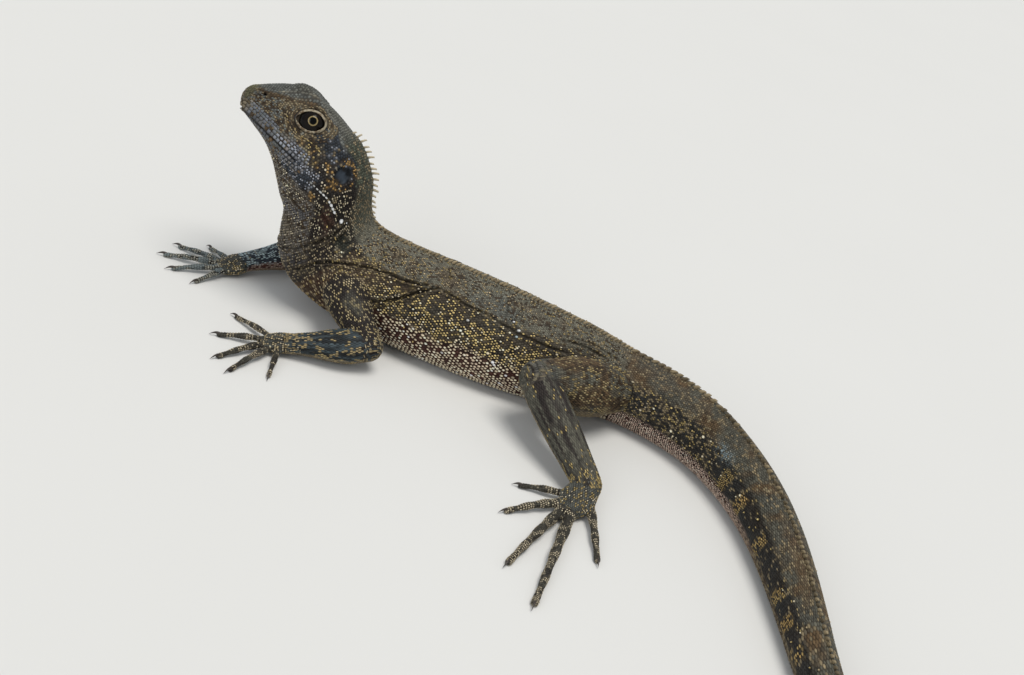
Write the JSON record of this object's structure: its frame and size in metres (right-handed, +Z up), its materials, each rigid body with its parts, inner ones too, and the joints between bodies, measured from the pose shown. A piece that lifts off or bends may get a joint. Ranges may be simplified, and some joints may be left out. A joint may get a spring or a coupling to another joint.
{
  "type": "water dragon model",
  "caption": "Life-size still model of an Australian water dragon resting on its belly, head raised and turned aside, long tail laid in an S-curve.",
  "frame": {"origin": "middle of the flat of the belly that rests on the floor, midway along the trunk", "axes": "+X towards the tail, so the head looks along -X, +Y towards the animal's right side, +Z up"},
  "size_m": [0.4883, 0.2895, 0.085],
  "materials": {
    "head_skin": "small dry scales, grey-brown crown over a dark temple with gold flecks",
    "body_skin": "small dry scales, dark olive-brown with scattered gold and cream scales",
    "tail_skin": "keeled dry scales, dark olive-brown with paler bands",
    "limb_skin": "small keeled scales, dark blue-grey and olive with yellow spots",
    "eye": "wet and glossy, dark brown iris with a thin gold ring round a black pupil"
  },
  "bodies": {
    "root": {"head": "head_skin", "left_eye": "eye", "right_eye": "eye", "neck": "body_skin", "torso": "body_skin", "tail_1": "tail_skin", "tail_2": "tail_skin", "tail_3": "tail_skin", "tail_4": "tail_skin", "tail_5": "tail_skin", "tail_6": "tail_skin", "tail_7": "tail_skin", "tail_8": "tail_skin", "left_upper_arm": "limb_skin", "left_forearm": "limb_skin", "left_forefoot": "limb_skin", "right_upper_arm": "limb_skin", "right_forearm": "limb_skin", "right_forefoot": "limb_skin", "left_thigh": "limb_skin", "left_shank": "limb_skin", "left_hindfoot": "limb_skin", "right_thigh": "limb_skin", "right_shank": "limb_skin", "right_hindfoot": "limb_skin"}
  },
  "joints": []
}
